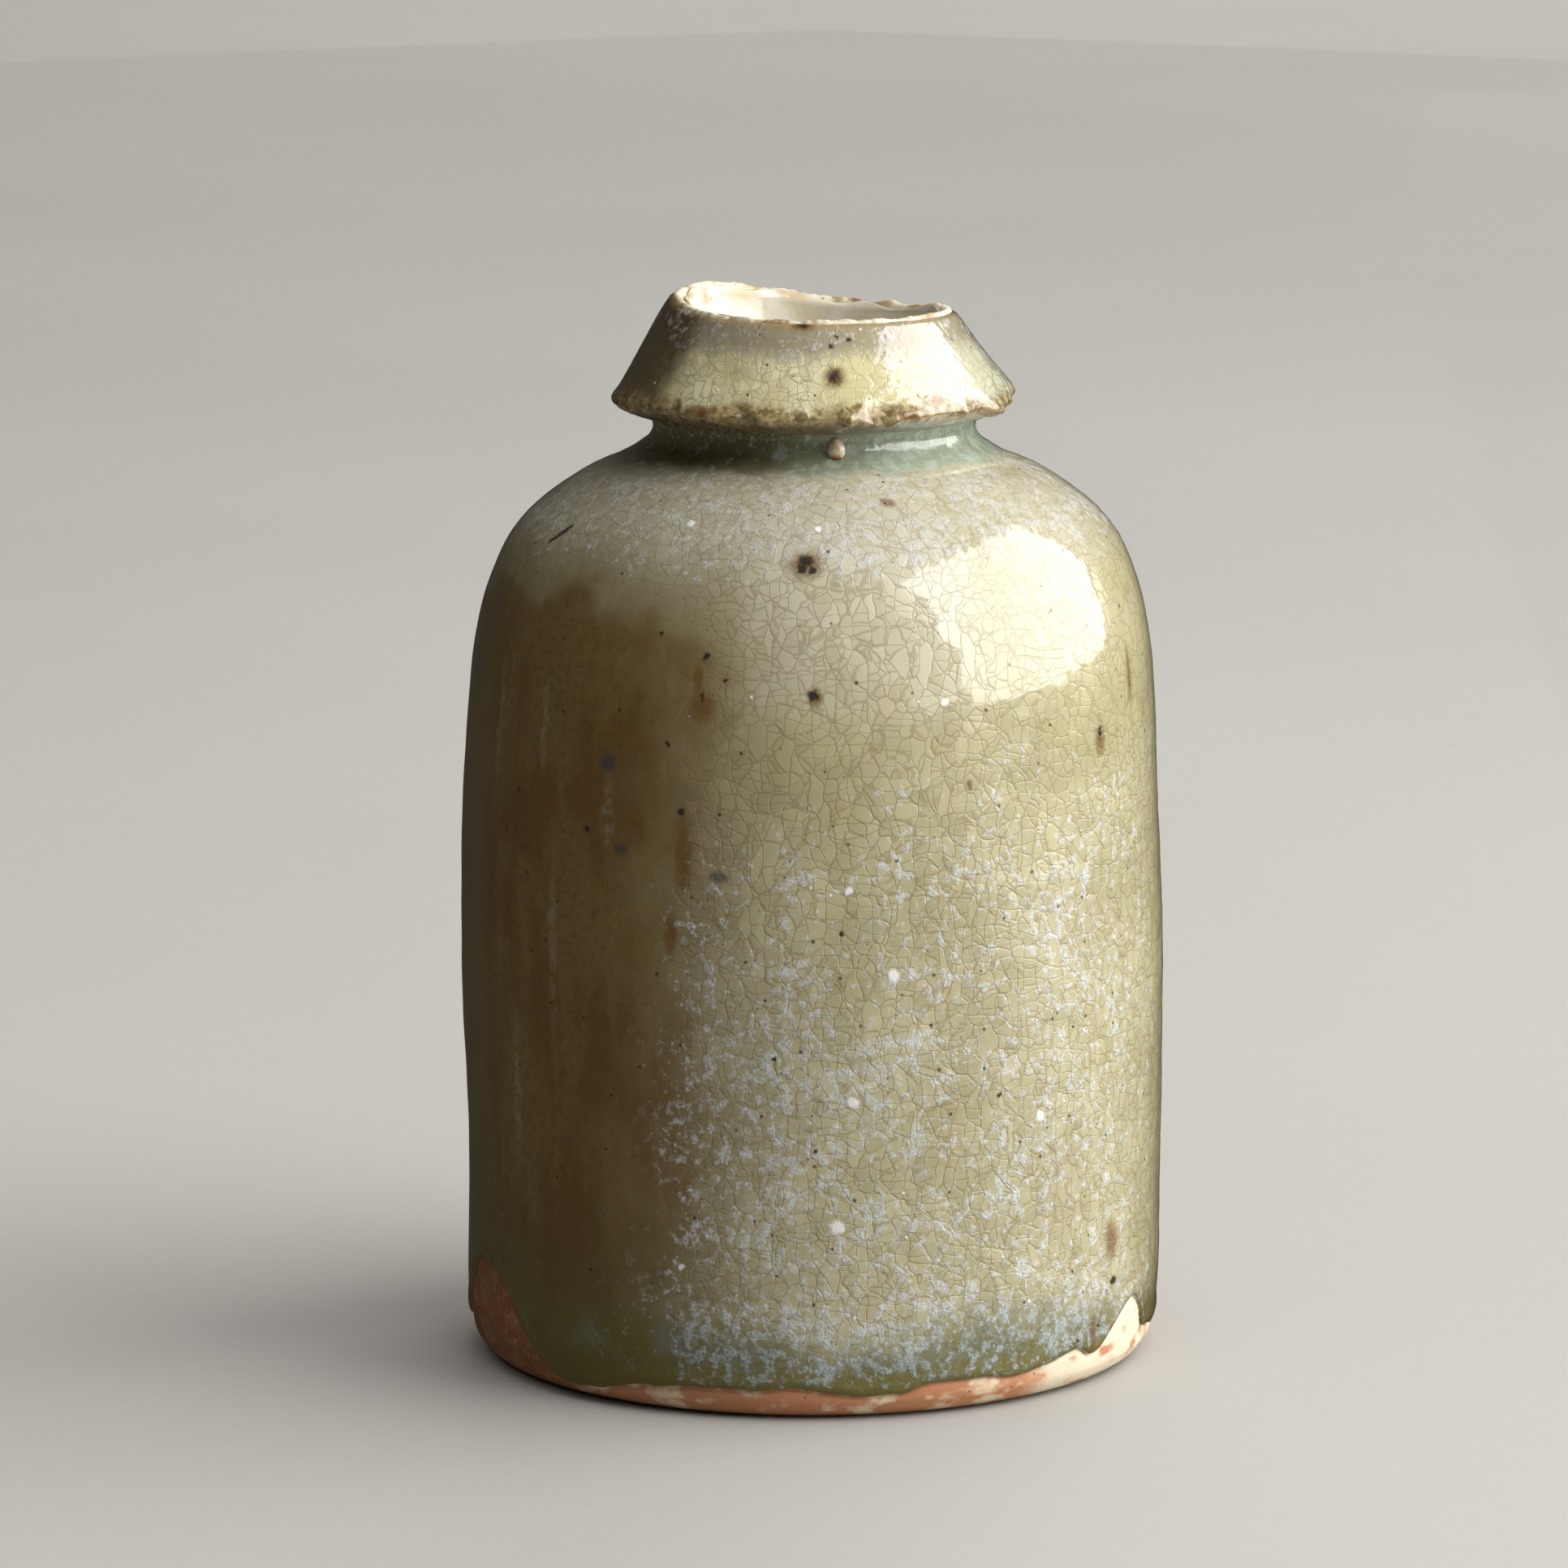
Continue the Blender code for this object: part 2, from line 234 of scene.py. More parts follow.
# ------------ node fields
class Field:
    """A value or vector that varies over a surface: one node socket, with arithmetic."""

    def __init__(self, tree, socket):
        self.tree = tree
        self.socket = socket

    def put(self, socket, value):
        if isinstance(value, Field):
            self.tree.links.new(value.socket, socket)
        else:
            socket.default_value = value

    def node(self, kind, inputs, **settings):
        """A new node with its settings and inputs, which are fields or plain values."""
        node = self.tree.nodes.new(kind)
        for name, value in settings.items():
            setattr(node, name, value)
        for name, value in inputs.items():
            self.put(node.inputs[name], value)
        return node

    def math(self, operation, other):
        node = self.node("ShaderNodeMath", {0: self, 1: other}, operation=operation)
        return Field(self.tree, node.outputs[0])

    def vector(self, operation, other=None, output=0):
        inputs = {0: self}
        if other is not None:
            inputs["Scale" if operation == "SCALE" else 1] = other
        node = self.node("ShaderNodeVectorMath", inputs, operation=operation)
        return Field(self.tree, node.outputs[output])

    def __add__(self, other):
        return self.math("ADD", other)

    def __sub__(self, other):
        return self.math("SUBTRACT", other)

    def __rsub__(self, other):
        return (self * -1.0) + other

    def __mul__(self, other):
        return self.math("MULTIPLY", other)

    __radd__ = __add__
    __rmul__ = __mul__

    def highest(self, other):
        return self.math("MAXIMUM", other)

    def lowest(self, other):
        return self.math("MINIMUM", other)

    def smooth(self, low, high):
        """0 at low, 1 at high, smooth between; low may be above high."""
        start, end = (0.0, 1.0) if low < high else (1.0, 0.0)
        inputs = {"Value": self, "From Min": min(low, high), "From Max": max(low, high),
                  "To Min": start, "To Max": end}
        node = self.node("ShaderNodeMapRange", inputs, interpolation_type="SMOOTHSTEP")
        return Field(self.tree, node.outputs[0])

    def stretched(self, x, y, z):
        return self.vector("MULTIPLY", (x, y, z))

    def shifted(self, x, y, z):
        return self.vector("ADD", (x, y, z))

    def dot(self, direction):
        return self.vector("DOT_PRODUCT", direction, output="Value")

    def length(self):
        return self.vector("LENGTH", output="Value")

    def around(self):
        """Level direction from the bottle's axis."""
        return self.stretched(1.0, 1.0, 0.0).vector("NORMALIZE")

    def height(self):
        return self.parts()[2]

    def parts(self):
        node = self.tree.nodes.new("ShaderNodeSeparateXYZ")
        self.put(node.inputs[0], self)
        return [Field(self.tree, out) for out in node.outputs]

    def noise(self, scale, detail=2.0, roughness=0.5, output="Fac"):
        inputs = {"Vector": self, "Scale": scale, "Detail": detail, "Roughness": roughness}
        node = self.node("ShaderNodeTexNoise", inputs)
        return Field(self.tree, node.outputs[output])

    def cells(self, scale, feature="F1", randomness=1.0):
        """A Voronoi texture: its outputs by name."""
        inputs = {"Vector": self, "Scale": scale, "Randomness": randomness}
        node = self.node("ShaderNodeTexVoronoi", inputs, feature=feature)
        return {out.name: Field(self.tree, out) for out in node.outputs if out.enabled}

    def warped(self, scale, amount):
        """The place, pushed about by noise: amount is in the place's own unit."""
        push = self.noise(scale, 2.0, 0.5, "Color").shifted(-0.5, -0.5, -0.5)
        return self.vector("ADD", push.vector("SCALE", 2.0 * amount))

    def blend(self, low, high):
        """A colour: low where this field is 0, high where it is 1."""
        tones = [(*tone, 1.0) if isinstance(tone, tuple) else tone for tone in (low, high)]
        inputs = dict(zip((0, 6, 7), (self, *tones)))
        node = self.node("ShaderNodeMix", inputs, data_type="RGBA", clamp_factor=True)
        return Field(self.tree, node.outputs[2])


class Skin:
    """Builds one Principled material from fields over the bottle's own coordinates."""

    def __init__(self, name, coat=0.0, ior=1.5, specular=0.5, coat_roughness=0.05):
        self.material = bpy.data.materials.new(name)
        self.material.use_nodes = True
        self.tree = self.material.node_tree
        self.shader = self.tree.nodes["Principled BSDF"]
        settings = {"IOR": ior, "Specular IOR Level": specular, "Coat Weight": coat,
                    "Coat Roughness": coat_roughness}
        for name, value in settings.items():
            self.shader.inputs[name].default_value = value
        coordinates = self.tree.nodes.new("ShaderNodeTexCoord")
        place = Field(self.tree, coordinates.outputs["Object"])
        self.place = place.vector("SCALE", 1000.0)

    def finish(self, colour, roughness, bump_mm):
        """Join the fields to the shader; the bump's height is in mm."""
        bump = bump_mm.node("ShaderNodeBump", {"Height": bump_mm, "Distance": MM, "Strength": 1.0})
        sources = {"Normal": bump.outputs[0], "Base Color": colour.socket,
                   "Roughness": roughness.socket}
        for name, source in sources.items():
            self.tree.links.new(source, self.shader.inputs[name])
        return self.material


def layered(colour, *layers):
    """Lay tones over a colour, each by its own share."""
    for share, tone in layers:
        colour = share.blend(colour, tone)
    return colour


def apply_relief(piece, height_of):
    """Move a piece's points along their normals by a height field in mm, for good."""
    tree = bpy.data.node_groups.new("relief", "GeometryNodeTree")
    tree.interface.new_socket("Geometry", in_out="INPUT", socket_type="NodeSocketGeometry")
    tree.interface.new_socket("Geometry", in_out="OUTPUT", socket_type="NodeSocketGeometry")
    start = tree.nodes.new("NodeGroupInput")
    end = tree.nodes.new("NodeGroupOutput")
    position = Field(tree, tree.nodes.new("GeometryNodeInputPosition").outputs[0])
    normal = Field(tree, tree.nodes.new("GeometryNodeInputNormal").outputs[0])
    share = tree.nodes.new("GeometryNodeInputNamedAttribute")
    share.data_type = "FLOAT"
    share.inputs["Name"].default_value = "relief"
    weight = Field(tree, share.outputs["Attribute"])
    height = height_of(position.vector("SCALE", 1000.0)) * weight * MM
    mover = tree.nodes.new("GeometryNodeSetPosition")
    tree.links.new(start.outputs[0], mover.inputs["Geometry"])
    tree.links.new(normal.vector("SCALE", height).socket, mover.inputs["Offset"])
    tree.links.new(mover.outputs[0], end.inputs[0])
    modifier = piece.modifiers.new("relief", "NODES")
    modifier.node_group = tree
    bpy.context.view_layer.update()
    evaluated = piece.evaluated_get(bpy.context.evaluated_depsgraph_get())
    mesh = bpy.data.meshes.new_from_object(evaluated)
    piece.modifiers.clear()
    old = piece.data
    piece.data = mesh
    bpy.data.meshes.remove(old)
    bpy.data.node_groups.remove(tree)
    mesh.shade_smooth()


# ------------ places on the bottle, in mm
def direction(degrees):
    return (math.cos(math.radians(degrees)), math.sin(math.radians(degrees)), 0.0)


def surface_point(outline, degrees, z):
    """Point of a turned surface at an angle and a height in mm, itself in mm."""
    radius = 1000 * outline.point(outline.at_height(z * MM))[0]
    x, y, _ = direction(degrees)
    return (radius * x, radius * y, z)


def spots(place, table, outline=POT):
    """Distance to the nearest spot of a table: 1 on its edge, 0 in its middle."""
    nearest = None
    for degrees, z, wide, tall in table:
        x, y, z = surface_point(outline, degrees, z)
        reach = place.shifted(-x, -y, -z).stretched(2 / wide, 2 / wide, 2 / tall).length()
        nearest = reach if nearest is None else nearest.lowest(reach)
    return nearest


# ------------ patterns of the glaze
LONG_CELL = 1.35           # width of the tall cells between the long cracks, mm
CROSS_CELL = 1.20          # height of the short cells that the cross cracks make
COLLAR_CRACKLE = (1.3, 1.3, 1.2)    # how much finer the collar's and the groove's cells are
GROOVE_CRACKLE = (1.6, 1.6, 1.4)


def lean_of(bent, size, scatter):
    """Tilt of each cell's plate: a different slope for every cell."""
    cell = bent.cells(1 / size, "F1", scatter)
    offset = bent.vector("SUBTRACT", cell["Position"])
    slope = cell["Color"].shifted(-0.5, -0.5, -0.5)
    return offset.vector("DOT_PRODUCT", slope, output="Value"), cell["Color"]


def crackle(place):
    """Crackle of a thick glaze: distances to long and cross cracks in mm, lean, cell tint."""
    bent = place.warped(0.15, 1.4).warped(0.75, 0.30)
    tall = bent.stretched(1.0, 1.0, 0.52)
    flat = bent.shifted(31.0, 7.0, 3.0).stretched(0.38, 0.38, 1.0)
    edge = tall.cells(1 / LONG_CELL, "DISTANCE_TO_EDGE", 0.85)["Distance"] * LONG_CELL
    fine = flat.cells(1 / CROSS_CELL, "DISTANCE_TO_EDGE", 0.75)["Distance"] * CROSS_CELL
    lean, tint = lean_of(tall, LONG_CELL, 0.85)
    cross_lean, _ = lean_of(flat, CROSS_CELL, 0.75)
    split = tint.parts()[0].smooth(0.10, 0.14)
    return edge, fine + (1.0 - split) * 2.0, lean + cross_lean * split, tint


def zones(place):
    """How smooth the wall is, how tanned, how near its brown side, how frosted with ash."""
    z = place.height()
    around = place.around()
    wander = place.noise(0.13, 3.0) - 0.5
    ragged = place.stretched(1.0, 1.0, 0.4).noise(0.45, 2.0) - 0.5
    toward = around.dot(direction(203)) + wander * 0.24
    smooth = (toward + ragged * 0.10).smooth(0.66, 0.76)
    low = (z + wander * 10.0).smooth(86.0, 75.0)
    smooth = smooth * low
    tan = (toward + ragged * 0.16).smooth(0.50, 0.78) * low
    front = around.dot(direction(287)).smooth(0.40, 0.97)
    right = around.dot(direction(330)).smooth(0.3, 0.9)
    frost = front * (z - right * 6.0).smooth(66.0, 34.0) * z.smooth(2.6, 6.0)
    frost = frost + z.smooth(80.0, 86.0) * 1.3
    frost = frost + z.smooth(15.0, 9.0) * z.smooth(2.6, 5.6) * front.smooth(0.0, 0.4) * 0.55
    return smooth, tan, toward * low, frost * (1.0 - smooth * 0.85)


def frost_grains(place, amount, edge):
    """Clusters of fine ash grains that settle along the cracks, 0 to 1."""
    clusters = place.noise(0.18, 1.0) - 0.5
    tufts = place.noise(1.0, 3.0, 0.66) + clusters * 0.28 + edge.smooth(0.5, 0.0) * 0.02
    grains = place.noise(3.6, 2.0, 0.6).smooth(0.34, 0.66)
    soft = (tufts + amount * 0.08).smooth(0.58, 0.74)
    return soft * (grains * 0.72 + 0.28) * amount.smooth(0.02, 0.25)


def glaze_relief(place):
    """Height of the crackled, frosted surface over the smooth wall, in mm."""
    edge, _, lean, _ = crackle(place)
    smooth, _, _, frost = zones(place)
    cells = lean * 0.050
    grains = frost_grains(place, frost, edge) * 0.050
    uneven = (place.noise(0.10, 2.0) - 0.5) * 0.10
    z = place.height()
    thick = smooth.highest(z.smooth(9.0, 4.5))
    calm = 1.0 - z.smooth(56.0, 70.0) * 0.45
    return cells * calm * (1.0 - thick * 0.93) + grains + uneven


# ------------ pieces
COLLAR_OUTLINE = [
    (0.0164, 0.0938), (0.0178, 0.0942), (0.0190, 0.0948), (0.0198, 0.0955), (0.0198, 0.0960),
    (0.0191, 0.0971), (0.0175, 0.0994), (0.0157, 0.1021), (0.0144, 0.1040), (0.0139, 0.1046),
]
COLLAR = Outline(COLLAR_OUTLINE)
LIP_ALONG = COLLAR.at_height(LIP_HEIGHT)
DRIP_ANGLE = 289.0


def band_rows(first_steps, length, count):
    """Distances up a band in mm: small first steps, then even ones."""
    even = np.linspace(first_steps[-1], length, count + 1)[1:]
    return np.concatenate([first_steps, even])


def torn(angle, seed, lobes, size):
    """Irregular tearing around an edge, about size high."""
    rng = random.Random(seed)
    total = 0.0
    for n in range(*lobes):
        total = total + rng.uniform(0.3, 1.0) * np.cos(n * angle + rng.uniform(0, 2 * math.pi))
    return size * total / (0.5 * math.sqrt(0.5 * len(range(*lobes))))


def bump_at(angle, degrees, half_width):
    """1 at an angle, falling off smoothly around it."""
    turn = np.angle(np.exp(1j * (angle - math.radians(degrees))))
    return np.exp(-(turn / math.radians(half_width)) ** 2)


def shell(outline, s, angle, outward):
    """Grid of points on an outline, each moved outwards by a distance."""
    radius, height = outline.point(s)
    side_r, side_z = outline.side(s)
    return turned_grid(radius + side_r * outward, height + side_z * outward, angle)


def coat_piece(name, front, back, weight, relief):
    """A closed coat: its front takes the relief by weight, its hidden back takes none."""
    coat = loop_solid(name, np.concatenate([front, back]))
    mark_relief(coat, np.concatenate([weight, np.zeros(back.shape[:2])]))
    apply_relief(coat, relief)
    return coat


def ring_piece(name, parts, first, last, relief):
    """A closed ring of stacked parts: only the rows from first up to last take the relief."""
    grid = np.concatenate(parts)
    ring = loop_solid(name, grid)
    weight = np.zeros(grid.shape[:2])
    weight[first:last] = 1.0
    mark_relief(ring, weight)
    apply_relief(ring, relief)
    return ring


def make_wall_glaze():
    angle = angles()
    low = POT.at_height(glaze_line(angle))
    top = POT.at_height(WALL_TOP)
    first = [0.0, 0.10, 0.20, 0.32, 0.48, 0.70, 1.0, 1.4]
    rows = band_rows(first, (top - POT.at_height(0.003)) / MM, 176)[:, None]
    share = rows / rows[-1]
    s = low + (top - low) * share
    climbed = (s - low) / MM
    height = POT.point(s)[1]
    roll = -0.50 * (1 - ramp(0.0, 0.34, climbed)) + 0.20 * np.exp(-((climbed - 0.95) / 0.7) ** 2)
    front = shell(POT, s, angle, wheel_marks(angle, height) + MM * roll)
    back_share = np.array([1.0, 0.9, 0.7, 0.5, 0.3, 0.15, 0.05, 0.01])[:, None]
    back = shell(POT, low + (top - low) * back_share, angle, -WALL_COAT)
    weight = ramp(0.2, 1.2, climbed) * (1 - ramp(0.0895, WALL_TOP, height))
    return coat_piece("wall_glaze", front, back, weight, glaze_relief)


def clay_relief(place):
    """Grit and drag marks of the trimmed clay, in mm."""
    grit = place.noise(1.6, 3.0, 0.6) - 0.5
    drag = place.stretched(0.25, 0.25, 2.2).noise(0.9, 2.0) - 0.5
    return grit * 0.10 + drag * 0.10


def make_clay_pot():
    angle = angles()
    line = glaze_line(angle)
    base_radius = repeated(np.linspace(0.0, 0.0309, 10), angle)
    base = turned_grid(base_radius, np.zeros_like(base_radius), angle)
    wall_depth, floor_z, inner_radius = 0.0040, 0.0046, 0.0307
    bare_rows = 46
    heights = np.concatenate([np.linspace(0.0, 0.0125, bare_rows),
                              np.linspace(0.0150, 0.0760, 14), np.linspace(0.0780, 0.0936, 30)])
    s = repeated(POT.at_height(heights), angle)
    height = repeated(heights, angle)
    depth = 0.00012 + 0.00036 * ramp(line - 0.0004, line + 0.0004, height)
    outside = shell(POT, s, angle, -depth)
    inside_s = repeated(POT.at_height(np.linspace(0.0926, 0.0140, 24)), angle)
    hollow = shell(POT, inside_s, angle, -wall_depth)
    corner = repeated(np.radians(np.linspace(0, 80, 6)), angle)
    bend = turned_grid(inner_radius - FLOOR_FILLET * (1 - np.cos(corner)),
                       floor_z + FLOOR_FILLET * (1 - np.sin(corner)), angle)
    floor_radius = repeated(np.linspace(0.0225, 0.0, 6), angle)
    floor = turned_grid(floor_radius, np.full_like(floor_radius, floor_z), angle)
    grid = np.concatenate([base, outside, hollow, bend, floor])
    pot = capped_solid("clay_pot", grid)
    weight = np.zeros(grid.shape[:2])
    weight[len(base) + 2:len(base) + bare_rows] = 1.0
    mark_relief(pot, np.concatenate([weight[1:-1].ravel(), [0.0, 0.0]]))
    apply_relief(pot, clay_relief)
    return pot


def collar_relief(place):
    """Crackle of the collar's coat, and the ragged, pitted glaze along its lower edge."""
    lean = crackle(place.stretched(*COLLAR_CRACKLE))[2]
    z = place.height()
    smooth_top = z.smooth(101.5, 103.5)
    cells = lean * 0.045
    lip = z.smooth(97.6, 96.0)
    lumps = (place.noise(0.85, 3.0, 0.6) - 0.5) * 0.26
    ash = (place.noise(2.4, 2.0, 0.6) - 0.5) * 0.14
    uneven = (place.noise(0.22, 2.0) - 0.5) * 0.16
    return cells * (1.0 - smooth_top.highest(lip)) + lumps * lip + ash * smooth_top + uneven


def make_collar_coat():
    angle = angles()
    end = COLLAR.length
    s = repeated(np.linspace(COLLAR_START, end, 84), angle)
    radius, height = COLLAR.point(s)
    side_r, side_z = COLLAR.side(s)
    near_lip = np.exp(-((s - LIP_ALONG) / 0.0011) ** 2)
    tears = torn(angle, 11, (7, 30), 0.00018) + torn(angle, 12, (36, 90), 0.00006)
    drip = bump_at(angle, DRIP_ANGLE, 4.5)
    outward = near_lip * (tears - 0.00015 * drip)
    drop = np.exp(-((s - LIP_ALONG) / 0.0014) ** 2) * (0.0010 * drip + 0.8 * tears * (tears > 0))
    edge_top = 1 - ramp(end - 0.0006, end, s)
    outward = outward - 0.00018 * (1 - edge_top)
    front = turned_grid(radius + side_r * outward, height + side_z * outward - drop, angle)
    back_s = repeated(np.linspace(end, COLLAR_START, 14), angle)
    back = shell(COLLAR, back_s, angle, -COLLAR_COAT)
    weight = ramp(COLLAR_START, 0.0016, s) * edge_top
    return coat_piece("collar_coat", front, back, weight, collar_relief)


def rim_relief(place):
    """Chips and grit of the bare, torn rim, in mm."""
    return (place.noise(0.9, 3.0, 0.6) - 0.5) * 0.05 + (place.noise(2.5, 2.0, 0.6) - 0.5) * 0.03


# Top of the bare clay rim, and the lining's rounded edge inside it: radius, height.
RIM_TOP = [(0.01372, 0.10440), (0.01360, 0.10468), (0.01340, 0.10478), (0.01310, 0.10474),
           (0.01280, 0.10458), (0.01262, 0.10430)]
LINING_TOP = [(0.01262, 0.10436), (0.01256, 0.10452), (0.01244, 0.10446)]


def chipped_edge(points, wear, angle):
    """A short outline turned around the bottle, with wear moving it out and up."""
    radius, height = np.array(points).T[:, :, None]
    return turned_grid(radius + 0.6 * wear, height + wear, angle)


def bore(low_radius, widening, heights, angle):
    """The wall of the mouth, which widens towards the rim."""
    height = repeated(heights, angle)
    return turned_grid(low_radius + widening * ramp(0.0985, 0.1045, height), height, angle)


def make_collar_clay():
    angle = angles()
    outside_s = repeated(np.linspace(0.0, COLLAR.at_height(0.1042), 24), angle)
    outside = shell(COLLAR, outside_s, angle, -0.00040)
    chips = torn(angle, 21, (6, 26), 0.00005) + torn(angle, 22, (40, 110), 0.00002)
    top = chipped_edge(RIM_TOP, chips, angle)
    inside = bore(0.0119, 0.0006, np.linspace(0.1040, 0.0938, 16), angle)
    first = len(outside) - 1
    last = len(outside) + len(top)
    return ring_piece("collar_clay", [outside, top, inside], first, last, rim_relief)


def groove_relief(place):
    """Runs and hollows of the glassy glaze in the neck groove, in mm."""
    runs = place.stretched(1.0, 1.0, 0.35).noise(0.55, 2.0) - 0.5
    lean = crackle(place.stretched(*GROOVE_CRACKLE))[2]
    upper = place.height().smooth(92.0, 93.6)
    cells = lean * 0.03
    return runs * 0.22 + cells * (0.25 + upper * 0.75)


def make_groove_glaze():
    angle = angles()
    start = POT.at_height(0.0893) + 0.0004 * np.cos(3 * angle + 0.6)
    start = start + torn(angle, 31, (5, 14), 0.0003)
    share = np.concatenate([[0.0, 0.02, 0.05], np.linspace(0.09, 1.0, 50)])[:, None]
    s = start + (POT.length - start) * share
    pool = 0.00016 * np.exp(-((s - POT.at_height(0.0908)) / 0.0011) ** 2)
    lift = -0.0004 + 0.00046 * ramp(0.0, 0.20, share)
    front = shell(POT, s, angle, lift + pool)
    back_share = np.linspace(1.0, 0.0, 8)[:, None]
    back = shell(POT, start + (POT.length - start) * back_share, angle, -GROOVE_COAT)
    weight = ramp(0.12, 0.36, share) * np.ones_like(angle)
    return coat_piece("groove_glaze", front, back, weight, groove_relief)


def lining_relief(place):
    """Slow unevenness of the mouth's lining, in mm."""
    return (place.noise(0.35, 2.0) - 0.5) * 0.12


def make_mouth_lining():
    angle = angles(360)
    low, high = 0.0929, 0.1040
    back = bore(0.01195, 0.0006, np.linspace(low, high, 20), angle)
    edge = chipped_edge(LINING_TOP, torn(angle, 41, (3, 16), 0.00012), angle)
    face = bore(0.01145, 0.00075, np.linspace(high, low, 34), angle)
    first = len(back) + len(edge) + 1
    return ring_piece("mouth_lining", [back, edge, face], first, None, lining_relief)


def make_hollow_lining():
    """A cup of thin glaze over the hollow's floor, wall and shoulder."""
    angle = angles(180)
    rows = []
    for inset, floor_z, upward in ((0.00405, 0.0047, True), (0.00450, 0.0051, False)):
        floor = [(r, floor_z) for r in np.linspace(0.0, 0.0228, 5)]
        fillet = [(0.0305 - FLOOR_FILLET * (1 - math.sin(t)),
                   floor_z + FLOOR_FILLET * (1 - math.cos(t)))
                  for t in np.radians(np.linspace(15, 90, 6))]
        wall = []
        for z in np.linspace(0.0140, 0.0926, 34):
            s = POT.at_height(z)
            side_r, side_z = POT.side(s)
            wall.append((POT.point(s)[0] - side_r * inset, z - side_z * inset))
        side = floor + fillet + wall
        rows += side if upward else side[::-1]
    radius, height = (repeated(column, angle) for column in np.array(rows).T)
    return capped_solid("hollow_lining", turned_grid(radius, height, angle))


BEAD_ANGLE = 278.0
BEAD_HEIGHT = 0.0924


def make_bead():
    """A drop of molten ash that ran down the neck and set in the groove."""
    around = angles(48)
    up = np.linspace(0.0, math.pi, 33)[:, None]
    wide = 0.00092 * np.sin(up) * (1.0 - 0.30 * (0.5 - 0.5 * np.cos(up)) ** 2)
    grid = np.stack([0.8 * wide * np.cos(around), wide * np.sin(around),
                     -0.00115 * np.cos(up) * np.ones_like(around)], axis=-1)
    x, y, _ = direction(BEAD_ANGLE)
    turn = np.array([[x, y, 0], [-y, x, 0], [0, 0, 1]])
    reach = NECK_RADIUS + 0.00045
    place = np.array([reach * x, reach * y, BEAD_HEIGHT])
    return capped_solid("ash_bead", grid @ turn + place)


# ------------ colours, linear
STRAW = (0.53, 0.487, 0.30)
STRAW_DARK = (0.42, 0.385, 0.22)
OCHRE = (0.42, 0.29, 0.10)
BLUSH = (0.50, 0.36, 0.25)
# painted light: a pale tone laid on the front and the left of the shoulder, where the key light
# falls
PAINTED_SHOULDER_LIGHT = (0.66, 0.63, 0.50)
FROST = (0.62, 0.67, 0.72)
FROST_GREY = (0.54, 0.55, 0.54)
OLIVE_BROWN = (0.205, 0.138, 0.048)
TOBACCO = (0.17, 0.092, 0.027)
FOOT_OLIVE = (0.155, 0.135, 0.036)
SEA_BLUE = (0.21, 0.27, 0.30)
FOOT_FROST = (0.40, 0.49, 0.55)
CRACK = (0.27, 0.205, 0.09)
IRON = (0.030, 0.026, 0.022)
RUST = (0.17, 0.075, 0.012)
WHITE_ASH = (0.90, 0.91, 0.90)
CLAY_RED = (0.60, 0.265, 0.13)
CLAY_CREAM = (0.86, 0.68, 0.47)
SHADED_STRAW = (0.24, 0.21, 0.115)
TAN = (0.22, 0.165, 0.072)
CROWN = (0.47, 0.45, 0.37)
BURNT_BROWN = (0.10, 0.055, 0.018)
RUN = (0.38, 0.35, 0.26)
MOSS = (0.13, 0.115, 0.045)
SLATE = (0.06, 0.065, 0.07)
# partly the pool's own brown, partly painted shade on the side away from the key light
POOL_BROWN_AND_SHADE = (0.14, 0.125, 0.06)
POOL_GREEN = (0.32, 0.37, 0.27)
POOL_MILK = (0.48, 0.55, 0.50)
POOL_FROST = (0.62, 0.68, 0.66)
POOL_CRACK = (0.10, 0.10, 0.05)
COLLAR_STRAW = (0.60, 0.545, 0.31)
COLLAR_CREAM = (0.74, 0.70, 0.46)
COLLAR_OCHRE = (0.52, 0.44, 0.26)
COLLAR_SEA = (0.42, 0.50, 0.44)
COLLAR_TOP = (0.29, 0.25, 0.175)
COLLAR_SHADE = (0.085, 0.060, 0.024)
COLLAR_DUST = (0.58, 0.58, 0.60)
COLLAR_CRACK = (0.22, 0.18, 0.08)
LIP_BROWN = (0.15, 0.095, 0.035)
LIP_OCHRE = (0.42, 0.31, 0.14)
# under the lip: partly the glaze's own brown, partly painted shade beneath the collar's overhang
LIP_UNDER_BROWN_AND_SHADE = (0.17, 0.13, 0.07)
BRINK = (0.36, 0.24, 0.10)
DARK_RUST = (0.20, 0.085, 0.02)
RIM_BROWN = (0.42, 0.29, 0.14)
RIM_CREAM = (0.70, 0.64, 0.49)
RIM_BURNT = (0.22, 0.10, 0.035)
CLAY_PALE = (0.86, 0.74, 0.56)
EMBER_DARK = (0.26, 0.090, 0.035)
EMBER_LIGHT = (0.50, 0.25, 0.08)
CLAY_UNDER = (0.42, 0.26, 0.14)
CLAY_GRIT = (0.12, 0.06, 0.03)
LINING_CREAM = (0.74, 0.70, 0.60)
LINING_SHADE = (0.62, 0.56, 0.41)
# darker tone for the lining deeper down the mouth
LINING_DEEP = (0.40, 0.34, 0.20)
LINING_BRINK = (0.55, 0.36, 0.17)
LINING_SPECK = (0.30, 0.18, 0.08)
HOLLOW_DARK = (0.30, 0.26, 0.15)
HOLLOW_PALE = (0.48, 0.43, 0.28)
BEAD_TAN = (0.60, 0.46, 0.30)
BEAD_CREAM = (0.76, 0.66, 0.50)
BEAD_FOOT = (0.20, 0.075, 0.025)
FLOOR_GREY = (0.285, 0.277, 0.264)
FLOOR_PALE = (0.297, 0.289, 0.276)

